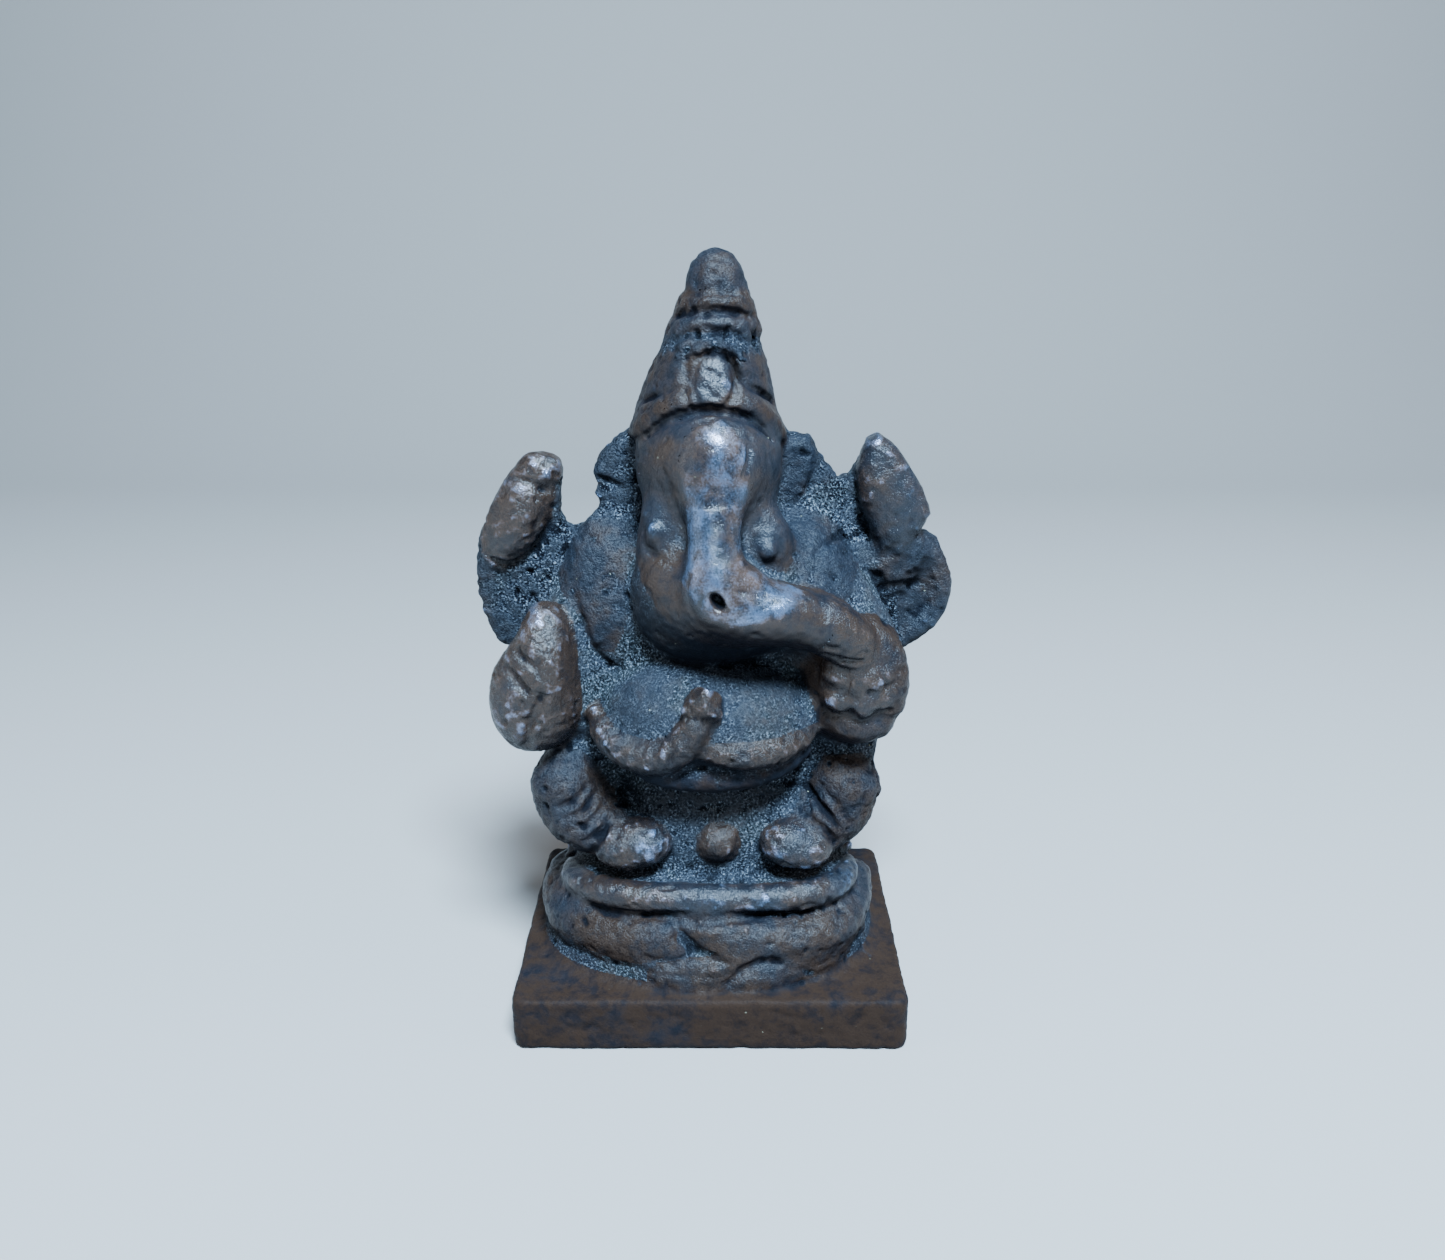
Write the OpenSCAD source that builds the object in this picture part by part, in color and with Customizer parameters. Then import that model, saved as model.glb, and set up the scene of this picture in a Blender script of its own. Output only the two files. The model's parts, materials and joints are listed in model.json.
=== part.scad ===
// Small solid-cast bronze figurine of a seated elephant-headed deity on a plinth.
// X runs to the viewer's right, -Y is the front, +Z is up. The origin is the middle of the
// plinth's underside. "right" and "left" in the names are the figure's own right and left,
// so the right hand is on the -X side.
// Each element is a piece of wax modelled by hand and pressed onto the ones made before it,
// and the whole was then cast as one. So every element keeps only what lies outside those
// that come earlier in NODES, and neighbours meet face to face.

/* [Plinth] */
// Width of the plinth
plinth_w = 38; // [34:0.5:44]
// Depth of the plinth, front to back
plinth_d = 29; // [26:0.5:34]
// Height of the plinth
plinth_h = 5.5; // [4:0.5:8]

/* [Seat] */
// Half width of the lotus seat's lower tier
seat_rx = 16.4; // [15:0.2:17]
// Half depth of the lotus seat's lower tier
seat_ry = 11.6; // [10.5:0.2:12.6]
// Height of each of the seat's two tiers
tier_h = 4.5; // [4:0.1:5]

/* [Figure] */
// Half width of the belly
belly_r = 11.2; // [10:0.2:12]
// Half width of the skull
head_r = 7; // [6.4:0.1:7.6]
// Radius of the trunk at the bend
trunk_r = 2.8; // [2.2:0.1:3.2]
// Radius of the snake that is tied round the belly
snake_r = 1.5; // [1.1:0.1:1.8]

/* [Crown] */
// Radius of the crown where it meets the brim
crown_r = 6.9; // [6.2:0.1:7.4]
// Height of the crown above the brim
crown_h = 15.6; // [14:0.2:17]

/* [Hidden] */
NODES = [
    "plinth", "seat_lower_tier", "seat_upper_tier", "lap", "torso", "head", "belly",
    "chest_collar", "crown_base", "crown_neck", "crown_lower_ring", "crown_upper_ring",
    "crown_finial", "crown_brim", "crown_jewel", "trunk_root", "trunk_curl", "right_eye",
    "left_eye", "right_leg", "left_leg", "right_foot", "left_foot", "sash_knot",
    "right_ear", "left_ear", "right_arm", "left_arm", "right_front_hand",
    "left_front_hand", "trunk_tip", "modak", "right_axe", "left_lotus_bud",
    "left_back_hand", "right_web", "left_web", "snake_head", "snake_tail", "waist_hem",
    "seat_rim_roll", "seat_roll_right", "seat_roll_middle", "seat_roll_left"
];

PATINA = "#3a3c3d";
BRONZE = "#5a4636";
DUSTY = "#4b5355";
SMOOTH = 24;
ROUGH = 14;
NONE = [0, 0, 0];

seat_z = plinth_h + 2 * tier_h;
brim_z = 57.3;
finial_h = 4.3;
web_t = 2.4;

// ---- shapes that repeat ----

// An ellipsoid with centre p and half sizes r, turned by a.
module ball(p, r, a = NONE, fn = SMOOTH) {
    translate(p) rotate(a) hull() scale(r) sphere(1, $fn = fn);
}

// A rounded roll of wax through points [x, y, z, radius].
module roll(points, fn = ROUGH) {
    for (i = [0 : len(points) - 2])
        hull() for (q = [points[i], points[i + 1]])
            translate([q[0], q[1], q[2]]) sphere(q[3], $fn = fn);
}

// Points [x, y, z, radius] along an ellipse round the seat, from angle a to b, the roll's
// height going from z0 to z1 and its radius swelling from thin ends to r in the middle.
function seat_arc(rx, ry, a, b, z0, z1, r, n = 9) = [
    for (i = [0 : n]) let (t = i / n, w = a + (b - a) * t)
        [rx * cos(w), ry * sin(w), z0 + (z1 - z0) * t, r * (0.62 + 0.38 * sin(180 * t))]
];

// An elliptical drum standing at height z.
module drum(rx, ry, z, h) {
    translate([0, 0, z]) scale([rx, ry, 1]) cylinder(h = h, r = 1, $fn = 64);
}

// A round tier of the crown, its radius going from r0 to r1.
module crown_tier(z, h, r0, r1) {
    translate([0.3, 0.6, z]) cylinder(h = h, r1 = r0, r2 = r1, $fn = 40);
}

// A thin upright sheet that fills between an arm and the head.
module sheet(outline, y) {
    translate([0, y + web_t / 2, 0]) rotate([90, 0, 0])
        linear_extrude(web_t) polygon(outline);
}

// ---- plinth and lotus seat ----

module plinth() color(PATINA) {
    corner_r = 1.2;
    linear_extrude(plinth_h) {
        square([plinth_w - 2 * corner_r, plinth_d], center = true);
        square([plinth_w, plinth_d - 2 * corner_r], center = true);
        for (sx = [-1, 1], sy = [-1, 1])
            translate([sx * (plinth_w / 2 - corner_r), sy * (plinth_d / 2 - corner_r)])
                circle(corner_r, $fn = 32);
    }
}

module seat_lower_tier() color(DUSTY) drum(seat_rx, seat_ry, plinth_h, tier_h);

module seat_upper_tier() color(DUSTY)
    drum(seat_rx - 1.5, seat_ry - 1.6, plinth_h + tier_h, tier_h);

module seat_rim_roll() color(BRONZE)
    roll(seat_arc(seat_rx - 1.2, seat_ry - 1.2, 190, 350, seat_z - 0.8, seat_z - 0.8, 1.1, 12));

module seat_roll_right() color(BRONZE)
    roll(seat_arc(seat_rx + 0.1, seat_ry + 0.1, 186, 252, 12, 9.2, 1.9, 7));

module seat_roll_middle() color(BRONZE)
    roll(seat_arc(seat_rx + 0.2, seat_ry + 0.3, 256, 286, 10.6, 7.4, 1.9, 4));

module seat_roll_left() color(BRONZE)
    roll(seat_arc(seat_rx + 0.1, seat_ry + 0.1, 272, 354, 9.4, 11.6, 1.7, 8));

// ---- body and legs ----

module lap() color(DUSTY) ball([0.3, 1, 18], [13, 9.3, 7.6]);

module torso() color(DUSTY) ball([0.3, 2.2, 34], [9.6, 6.2, 16]);

module belly() color(DUSTY) ball([0.5, -2.6, 30.2], [belly_r, 8.4, 7.6]);

module chest_collar() color(DUSTY) ball([0.3, -3, 41.5], [8.3, 6.6, 6]);

module waist_hem() color(PATINA)
    roll([[-7.2, -7.6, 26, 0.6], [-3.6, -9.3, 24.9, 1], [0.4, -9.9, 24.5, 1.1],
          [4.6, -9.1, 24.9, 1], [8.2, -7.2, 26.2, 0.6]]);

module snake_head() color(BRONZE)
    roll([[-10, -5.2, 30.4, snake_r * 0.75], [-8.2, -8, 28.4, snake_r],
          [-5, -9.8, 27.4, snake_r * 1.1], [-2, -10.5, 28.6, snake_r * 1.1],
          [-0.3, -10.8, 31.2, snake_r * 1.15], [-0.7, -10.8, 34, snake_r * 1.1]]);

module snake_tail() color(BRONZE)
    roll([[0.9, -10.6, 29, snake_r * 0.7], [4.8, -10.1, 28.2, snake_r * 0.85],
          [9.2, -7.7, 29.4, snake_r * 0.65]]);

module right_leg() color(PATINA) {
    ball([-13.4, -2.6, 21.8], [4.7, 5, 5.2], [0, 35, 0]);
    roll([[-12.2, -4, 20.5, 3.6], [-9.4, -6, 17.6, 2.8]]);
}

module left_leg() color(PATINA) {
    ball([12.9, -2.6, 22], [4.4, 5, 5], [0, -35, 0]);
    roll([[12, -4, 20.5, 3.5], [9.6, -6, 17.8, 2.8]]);
}

module right_foot() color(BRONZE) ball([-7.5, -7.8, 17.1], [3.5, 2.5, 2.3], [0, -14, 0]);

module left_foot() color(BRONZE) ball([8.2, -7.6, 17.4], [3.4, 2.5, 2.2], [0, 10, 0]);

module sash_knot() color(BRONZE) ball([0.5, -7.6, 17.2], [2.1, 1.9, 2]);

// ---- arms, hands and what they hold ----

module right_arm() color(DUSTY)
    roll([[-8, 0.6, 41.5, 3.4], [-13, -0.4, 38.5, 3.1], [-15.2, -2, 34.5, 2.8]], SMOOTH);

module left_arm() color(DUSTY)
    roll([[8, 0.6, 41.5, 3.4], [13.2, -0.4, 38.5, 3.1], [14.4, -2, 34.5, 2.8]], SMOOTH);

module right_front_hand() color(BRONZE) {
    ball([-16.5, -4.6, 33.2], [4.4, 3.1, 6]);
    roll([[-16.1, -4.4, 36, 3.4], [-15.4, -3.8, 40.2, 1.9]]);
}

module left_front_hand() color(BRONZE)
    ball([14.2, -5, 34.6], [4.7, 3.9, 6.4], [0, 10, 0]);

module modak() color(BRONZE) ball([13.2, -8.6, 35.2], [2.7, 2.2, 2.5]);

module right_axe() color(BRONZE) ball([-17.7, 1.4, 48.6], [3.5, 1.9, 6.8], [0, 22, 0]);

module left_lotus_bud() color(BRONZE) ball([17.4, 1.4, 50], [3.8, 1.9, 6.4], [0, -12, 0]);

module left_back_hand() color(PATINA) ball([19, 1.6, 41.3], [4.2, 1.8, 5.4], [0, -8, 0]);

module right_web() color(PATINA)
    sheet([[-7, 30], [-15, 33], [-20, 36], [-21.6, 39.5], [-22.1, 44], [-20, 48.5],
           [-15.4, 51], [-14.2, 48], [-12.8, 47], [-11, 48.4], [-10.4, 51.5], [-6, 56]], 2.2);

module left_web() color(PATINA)
    sheet([[7, 30], [15, 33], [19.4, 36.4], [21.5, 39.5], [18.5, 47], [15, 52.6], [13.2, 51.2],
           [10.6, 54.2], [6, 56]], 2.4);

// ---- head ----

module head() color(PATINA) {
    ball([0, -2.6, 52.6], [head_r, 6.4, 7.6]);
    ball([0, -4, 47.5], [5.7, 4.6, 4.6]);
}

module right_ear() color(DUSTY) {
    ball([-9.4, -1.6, 42.6], [3.5, 3.2, 7.2], [0, -6, 0]);
    roll([[-9, 0, 47, 2.6], [-8.8, 1.4, 51, 2], [-8.4, 1.8, 54.6, 1.8]]);
}

module left_ear() color(DUSTY) {
    ball([9.6, -1.4, 43.4], [4, 3.4, 6.6], [0, 10, 0]);
    roll([[9.2, 0, 47, 2.6], [8.9, 1.4, 51, 2], [8.8, 1.7, 54.8, 1.8]]);
}

module right_eye() color(BRONZE) ball([-4.9, -6.2, 49.7], [1.4, 1.3, 1.8], NONE, 20);

module left_eye() color(BRONZE) ball([5.2, -6.2, 48.2], [1.4, 1.3, 1.8], NONE, 20);

module trunk_root() color(BRONZE)
    roll([[0.2, -7.2, 54.6, trunk_r * 1.15], [0.1, -9.6, 50.4, trunk_r * 0.9],
          [0, -11, 47, trunk_r * 0.86], [0.4, -11.8, 44.2, trunk_r]], 20);

module trunk_curl() color(BRONZE)
    roll([[0.6, -11.9, 43.6, trunk_r], [3, -11.9, 42.2, trunk_r], [6.2, -11.2, 42, trunk_r * 0.96],
          [9.4, -9.8, 41.2, trunk_r * 0.94]], 20);

module trunk_tip() color(BRONZE)
    roll([[9.6, -9.8, 41, trunk_r * 0.92], [12.6, -8.9, 39.2, trunk_r * 0.86]], 20);

// ---- crown ----

module crown_base() color(PATINA) crown_tier(brim_z, 6.2, crown_r, crown_r * 0.7);

module crown_neck() color(DUSTY) crown_tier(brim_z + 6.2, 1.9, crown_r * 0.7, crown_r * 0.62);

module crown_lower_ring() color(BRONZE)
    crown_tier(brim_z + 8.1, 1.7, crown_r * 0.64, crown_r * 0.54);

module crown_upper_ring() color(BRONZE)
    crown_tier(brim_z + 9.8, 1.6, crown_r * 0.53, crown_r * 0.44);

module crown_finial() color(PATINA)
    translate([0.4, 0.6, brim_z + crown_h - finial_h]) rotate_extrude($fn = 40)
        intersection() {
            translate([0, 1.6]) scale([crown_r * 0.4, finial_h - 1.6]) circle(1, $fn = 48);
            square([crown_r, finial_h]);
        }

module crown_brim() color(BRONZE)
    roll([for (w = [0 : 24 : 360])
        [0.2 + crown_r * cos(w), -0.4 + crown_r * 0.98 * sin(w), brim_z + 0.6 - 1.7 * sin(w), 1.25]]);

module crown_jewel() color(BRONZE) ball([0.3, -5.9, 61.6], [2.2, 1.2, 2.5], [-20, 0, 0], 20);

// ---- assembly ----

module element(name) {
    if (name == "plinth") plinth();
    if (name == "seat_lower_tier") seat_lower_tier();
    if (name == "seat_upper_tier") seat_upper_tier();
    if (name == "seat_rim_roll") seat_rim_roll();
    if (name == "seat_roll_right") seat_roll_right();
    if (name == "seat_roll_middle") seat_roll_middle();
    if (name == "seat_roll_left") seat_roll_left();
    if (name == "lap") lap();
    if (name == "torso") torso();
    if (name == "belly") belly();
    if (name == "chest_collar") chest_collar();
    if (name == "waist_hem") waist_hem();
    if (name == "snake_head") snake_head();
    if (name == "snake_tail") snake_tail();
    if (name == "right_leg") right_leg();
    if (name == "left_leg") left_leg();
    if (name == "right_foot") right_foot();
    if (name == "left_foot") left_foot();
    if (name == "sash_knot") sash_knot();
    if (name == "right_arm") right_arm();
    if (name == "left_arm") left_arm();
    if (name == "right_front_hand") right_front_hand();
    if (name == "left_front_hand") left_front_hand();
    if (name == "modak") modak();
    if (name == "right_axe") right_axe();
    if (name == "left_lotus_bud") left_lotus_bud();
    if (name == "left_back_hand") left_back_hand();
    if (name == "right_web") right_web();
    if (name == "left_web") left_web();
    if (name == "head") head();
    if (name == "right_ear") right_ear();
    if (name == "left_ear") left_ear();
    if (name == "right_eye") right_eye();
    if (name == "left_eye") left_eye();
    if (name == "trunk_root") trunk_root();
    if (name == "trunk_curl") trunk_curl();
    if (name == "trunk_tip") trunk_tip();
    if (name == "crown_base") crown_base();
    if (name == "crown_neck") crown_neck();
    if (name == "crown_lower_ring") crown_lower_ring();
    if (name == "crown_upper_ring") crown_upper_ring();
    if (name == "crown_finial") crown_finial();
    if (name == "crown_brim") crown_brim();
    if (name == "crown_jewel") crown_jewel();
}

// The element as it sits on those made before it.
module pressed_on(name) {
    index = search([name], NODES)[0];
    difference() {
        element(name);
        for (i = [0 : 1 : index - 1]) element(NODES[i]);
    }
}

for (name = NODES)
    pressed_on(name);
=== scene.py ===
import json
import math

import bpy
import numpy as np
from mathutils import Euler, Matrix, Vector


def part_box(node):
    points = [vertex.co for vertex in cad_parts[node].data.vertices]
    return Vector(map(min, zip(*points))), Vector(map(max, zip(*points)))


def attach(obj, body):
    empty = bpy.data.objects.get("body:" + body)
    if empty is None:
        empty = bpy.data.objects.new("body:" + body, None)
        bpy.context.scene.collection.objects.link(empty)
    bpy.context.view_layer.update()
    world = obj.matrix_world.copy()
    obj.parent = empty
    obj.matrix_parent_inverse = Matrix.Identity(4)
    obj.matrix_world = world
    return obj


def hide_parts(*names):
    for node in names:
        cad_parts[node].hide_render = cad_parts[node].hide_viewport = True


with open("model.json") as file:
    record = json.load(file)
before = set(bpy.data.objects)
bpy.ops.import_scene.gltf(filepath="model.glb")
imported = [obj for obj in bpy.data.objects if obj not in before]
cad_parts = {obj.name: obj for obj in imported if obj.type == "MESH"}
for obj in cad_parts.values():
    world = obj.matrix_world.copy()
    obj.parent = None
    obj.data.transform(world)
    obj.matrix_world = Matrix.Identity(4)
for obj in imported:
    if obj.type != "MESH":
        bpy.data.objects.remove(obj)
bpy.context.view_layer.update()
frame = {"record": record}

# A small old bronze casting of a seated elephant-headed deity.
#
# The figure is modelled like the wax it was cast from. Every element is pressed onto a block of
# "clay", a grid of distances to the surface, and melts a little into what is already there. The
# grid remembers which element each bit of metal belongs to. At the end the surface is drawn out
# of the grid as one closed mesh per element, and neighbours share their points exactly.
#
# All shapes are in millimetres in the frame's own axes: +X to the viewer's right, -Y to the
# front, +Z up. "Right" and "left" in names are the figure's own.

MM = 0.001
STEP = 0.22   # spacing of the clay's grid
FAR = 3.0                             # distances beyond this don't matter
SEED = 11
FIGURE_MIDDLE = (0, 0, 0.04)          # where the lights point, in metres


# ---------------------------------------------------------------- the clay

def soft_min(a, b, k):
    """The nearer of two distances, with a fillet about k wide where they meet."""
    if k <= 0:
        return np.minimum(a, b)
    h = np.maximum(k - np.abs(a - b), 0) / k
    return np.minimum(a, b) - h * h * k / 4


def soft_max(a, b, k):
    return -soft_min(-a, -b, k)


class Shape:
    """A distance function with the box that it fits in."""

    def __init__(self, low, high, distance):
        self.low = np.array(low, float)
        self.high = np.array(high, float)
        self.distance = distance


class Clay:
    """Distances on a grid, below zero inside the metal, and which element owns each point."""

    def __init__(self, low, high, step):
        self.low = np.array(low, float)
        self.step = step
        size = np.ceil((np.array(high) - self.low) / step).astype(int) + 1
        self.depth = np.full(size, FAR, np.float32)
        self.nearest = np.full(size, 2 * FAR, np.float32)
        self.owner = np.zeros(size, np.uint8)
        self.names = ["air"]

    def window(self, low, high):
        """The part of the grid between two corners: its slices and its x, y and z."""
        first = np.floor((low - self.low) / self.step).astype(int)
        last = np.ceil((high - self.low) / self.step).astype(int) + 1
        first = np.clip(first, 0, self.depth.shape)
        last = np.clip(last, 0, self.depth.shape)
        cut = tuple(slice(a, b) for a, b in zip(first, last))
        axes = [self.low[i] + self.step * np.arange(first[i], last[i]) for i in range(3)]
        grid = np.meshgrid(*[a.astype(np.float32) for a in axes], indexing="ij", sparse=True)
        return cut, grid

    def measure(self, shapes, reach, melt):
        """The distance to several shapes at once, over a window that reaches past them."""
        low = np.min([s.low for s in shapes], axis=0) - reach
        high = np.max([s.high for s in shapes], axis=0) + reach
        cut, _ = self.window(low, high)
        near = np.full([c.stop - c.start for c in cut], FAR, np.float32)
        for shape in shapes:
            own, grid = self.window(shape.low - reach, shape.high + reach)
            local = tuple(slice(a.start - b.start, a.stop - b.start) for a, b in zip(own, cut))
            near[local] = soft_min(near[local], shape.distance(*grid), melt)
        return cut, near

    def add(self, name, shapes, blend=0.6, melt=0.0):
        """Presses shapes onto the clay as part of the named element."""
        if name not in self.names:
            self.names.append(name)
        cut, near = self.measure(shapes, blend + 0.8, melt)
        self.depth[cut] = soft_min(self.depth[cut], near, blend)
        closer = near < self.nearest[cut]
        self.nearest[cut] = np.where(closer, near, self.nearest[cut])
        self.owner[cut] = np.where(closer, self.names.index(name), self.owner[cut])

    def carve(self, shapes, blend=0.3):
        """Scrapes shapes out of the clay, whichever element they cross."""
        cut, near = self.measure(shapes, blend + 0.6, melt=0)
        self.depth[cut] = soft_max(self.depth[cut], -near, blend)

    def sample(self, points, field):
        """A field's value at any points, read between the grid's own."""
        at = (points - self.low) / self.step
        at = np.clip(at, 0, np.array(field.shape) - 1.001)
        base = at.astype(int)
        part = (at - base).astype(np.float32)
        total = np.zeros(len(points), np.float32)
        for corner in np.ndindex(2, 2, 2):
            weight = np.prod(np.where(corner, part, 1 - part), axis=1)
            i, j, k = (base + corner).T
            total += weight * field[i, j, k]
        return total

    def slope(self, points):
        """The distance at points, and the direction in which it grows fastest."""
        reach = 0.75 * self.step
        here = self.sample(points, self.depth)
        grow = np.empty((len(points), 3), np.float32)
        for axis in range(3):
            offset = np.zeros(3)
            offset[axis] = reach
            ahead = self.sample(points + offset, self.depth)
            behind = self.sample(points - offset, self.depth)
            grow[:, axis] = (ahead - behind) / (2 * reach)
        return here, grow

    def front(self, x, z):
        """How far forward the surface comes at a place seen from the front."""
        i, k = np.rint((np.array([x, z]) - self.low[[0, 2]]) / self.step).astype(int)
        column = self.depth[i, :, k]
        inside = np.nonzero(column < 0)[0]
        if not len(inside):
            return 0.0
        j = inside[0]
        if j == 0:
            return self.low[1]
        part = column[j - 1] / (column[j - 1] - column[j])
        return self.low[1] + self.step * (j - 1 + part)


# ---------------------------------------------------------------- shapes to press on

def ball(at, size, turn=(0, 0, 0), power=2):
    """An ellipsoid of three half sizes, turned by angles in degrees. A power above 2 makes it
    a cushion with flatter sides."""
    spin = np.array(Euler([math.radians(a) for a in turn]).to_matrix())
    size = np.array(size, float)
    reach = np.sqrt(((spin * size) ** 2).sum(axis=1)) * (1 if power == 2 else 1.12)

    def distance(x, y, z):
        p, q, r = (spin[0, i] * (x - at[0]) + spin[1, i] * (y - at[1]) + spin[2, i] * (z - at[2])
                   for i in range(3))
        k0 = np.sqrt((p / size[0]) ** 2 + (q / size[1]) ** 2 + (r / size[2]) ** 2)
        k1 = np.sqrt((p / size[0] ** 2) ** 2 + (q / size[1] ** 2) ** 2 + (r / size[2] ** 2) ** 2)
        if power > 2:
            round_level = np.maximum(k0, 1e-4)
            k0 = (np.abs(p / size[0]) ** power + np.abs(q / size[1]) ** power
                  + np.abs(r / size[2]) ** power) ** (1 / power)
            k1 = k1 * k0 / round_level
        return k0 * (k0 - 1) / np.maximum(k1, 1e-4)

    return Shape(at - reach, at + reach, distance)


def smooth_path(points, pieces=4):
    """The same points with extra ones between, along a Catmull-Rom curve."""
    p = np.array(points, float)
    if len(p) < 3:
        return p
    p = np.vstack([2 * p[0] - p[1], p, 2 * p[-1] - p[-2]])
    t = (np.arange(pieces) / pieces)[:, None]
    path = []
    for a, b, c, d in zip(p, p[1:], p[2:], p[3:]):
        path.append(0.5 * (2 * b + (c - a) * t + (2 * a - 5 * b + 4 * c - d) * t ** 2
                           + (3 * b - a - 3 * c + d) * t ** 3))
    return np.vstack(path + [p[-2:-1]])


def roll(points):
    """A rolled string of wax through points (x, y, z, radius), as a list of short lengths."""
    path = smooth_path(points)

    def length(a, b):
        along = b[:3] - a[:3]
        square = max(float(along @ along), 1e-6)

        def distance(x, y, z):
            t = ((x - a[0]) * along[0] + (y - a[1]) * along[1] + (z - a[2]) * along[2]) / square
            t = np.clip(t, 0, 1)
            gap = np.sqrt((x - a[0] - t * along[0]) ** 2 + (y - a[1] - t * along[1]) ** 2
                          + (z - a[2] - t * along[2]) ** 2)
            return gap - (a[3] + (b[3] - a[3]) * t)

        thick = max(a[3], b[3])
        return Shape(np.minimum(a, b)[:3] - thick, np.maximum(a, b)[:3] + thick, distance)

    return [length(a, b) for a, b in zip(path, path[1:])]


def capped(side, cap, edge):
    """The distance to a wall and a flat end together, their corner rounded by edge."""
    out = np.sqrt(np.maximum(side, 0) ** 2 + np.maximum(cap, 0) ** 2)
    return out + np.minimum(np.maximum(side, cap), 0) - edge


def brick(low, high, corner, edge):
    """A block with round upright corners and softened edges."""
    middle = (np.array(low) + high) / 2
    half = (np.array(high) - low) / 2

    def distance(x, y, z):
        p = np.abs(x - middle[0]) - half[0] + corner
        q = np.abs(y - middle[1]) - half[1] + corner
        side = np.sqrt(np.maximum(p, 0) ** 2 + np.maximum(q, 0) ** 2) - corner
        side = side + np.minimum(np.maximum(p, q), 0) + edge
        return capped(side, np.abs(z - middle[2]) - half[2] + edge, edge)

    return Shape(low, high, distance)


def drum(middle, half, bottom, top, power, edge):
    """A low drum whose plan lies between an ellipse, at power 2, and a rectangle."""
    centre = (bottom + top) / 2
    tall = (top - bottom) / 2

    def distance(x, y, z):
        p = np.abs((x - middle[0]) / half[0])
        q = np.abs((y - middle[1]) / half[1])
        level = (p ** power + q ** power) ** (1 / power)
        side = (level - 1) * min(half) + edge
        return capped(side, np.abs(z - centre) - tall + edge, edge)

    low = (middle[0] - half[0], middle[1] - half[1], bottom)
    high = (middle[0] + half[0], middle[1] + half[1], top)
    return Shape(low, high, distance)


def lathe(profile, lean, droop=(0, 0), edge=0.3):
    """A turned shape of heights and radii. Its axis runs from x lean[0] at the bottom to lean[1]
    at the top, at y lean[2], and its rings hang lower at the sides by droop, bottom and top."""
    heights, radii = np.array(profile, float).T
    bottom, top = heights[0], heights[-1]

    def distance(x, y, z):
        part = np.clip((z - bottom) / (top - bottom), 0, 1)
        off = x - lean[0] - (lean[1] - lean[0]) * part
        sag = droop[0] + (droop[1] - droop[0]) * part
        high = z + sag * np.minimum(off / np.interp(z, heights, radii), 1.3) ** 2
        side = np.sqrt(off ** 2 + (y - lean[2]) ** 2) - np.interp(high, heights, radii)
        cap = np.maximum(bottom - high, high - top)
        return soft_max(0.92 * side, 0.92 * cap, edge)

    wide = radii.max() + abs(lean[1] - lean[0])
    low = (min(lean[:2]) - wide, lean[2] - wide, bottom - 1.7 * max(droop))
    high = (max(lean[:2]) + wide, lean[2] + wide, top)
    return Shape(low, high, distance)


def sheet(outline, y_front, y_back, edge=0.5):
    """An upright sheet whose outline is drawn in x and z."""
    corners = np.array(outline, float)
    middle, half = (y_front + y_back) / 2, (y_back - y_front) / 2

    def distance(x, y, z):
        x, z = np.broadcast_arrays(x, z)
        square = np.full(x.shape, 1e6, np.float32)
        inside = np.zeros(x.shape, bool)
        for (ax, az), (bx, bz) in zip(corners, np.roll(corners, -1, axis=0)):
            ex, ez = bx - ax, bz - az
            t = np.clip(((x - ax) * ex + (z - az) * ez) / (ex * ex + ez * ez), 0, 1)
            square = np.minimum(square, (x - ax - t * ex) ** 2 + (z - az - t * ez) ** 2)
            if az != bz:
                inside ^= ((az > z) != (bz > z)) & (x < ax + ex * (z - az) / ez)
        flat = np.where(inside, -1, 1) * np.sqrt(square)
        return soft_max(flat, np.abs(y - middle) - half, edge)

    low = (corners[:, 0].min(), y_front, corners[:, 1].min())
    high = (corners[:, 0].max(), y_back, corners[:, 1].max())
    return Shape(low, high, distance)


def gem(at, size, facets, turn=0.0):
    """A lump pressed flat on many sides, the facets spread evenly round it."""
    golden = math.pi * (3 - math.sqrt(5))
    ups = 1 - 2 * (np.arange(facets) + 0.5) / facets
    rounds = turn + golden * np.arange(facets)
    flats = np.sqrt(1 - ups ** 2)
    faces = np.stack([flats * np.cos(rounds), flats * np.sin(rounds), ups], axis=1)

    def distance(x, y, z):
        p, q, r = (x - at[0]) / size[0], (y - at[1]) / size[1], (z - at[2]) / size[2]
        worst = np.full(np.broadcast_shapes(x.shape, y.shape, z.shape), -9, np.float32)
        for n in faces:
            worst = soft_max(worst, n[0] * p + n[1] * q + n[2] * r - 0.86, 0.12)
        return worst * min(size)

    size_box = np.array(size) * 1.15
    return Shape(at - size_box, at + size_box, distance)


def on_front(clay, points, sink=0.0):
    """A roll laid along the front surface through points (x, z, radius), sunk a little into it."""
    return roll([(x, clay.front(x, z) + sink, z, r) for x, z, r in points])


def groove(clay, lines, blend):
    """Scratches lines of (x, z, radius) into the front surface, one after another."""
    for line in lines:
        clay.carve(on_front(clay, line), blend)


# ---------------------------------------------------------------- plinth and seat

def model_plinth(clay):
    low, high = (np.array(corner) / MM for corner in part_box("plinth"))
    clay.add("plinth", [brick(low, high, corner=1.3, edge=0.55)])


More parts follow.
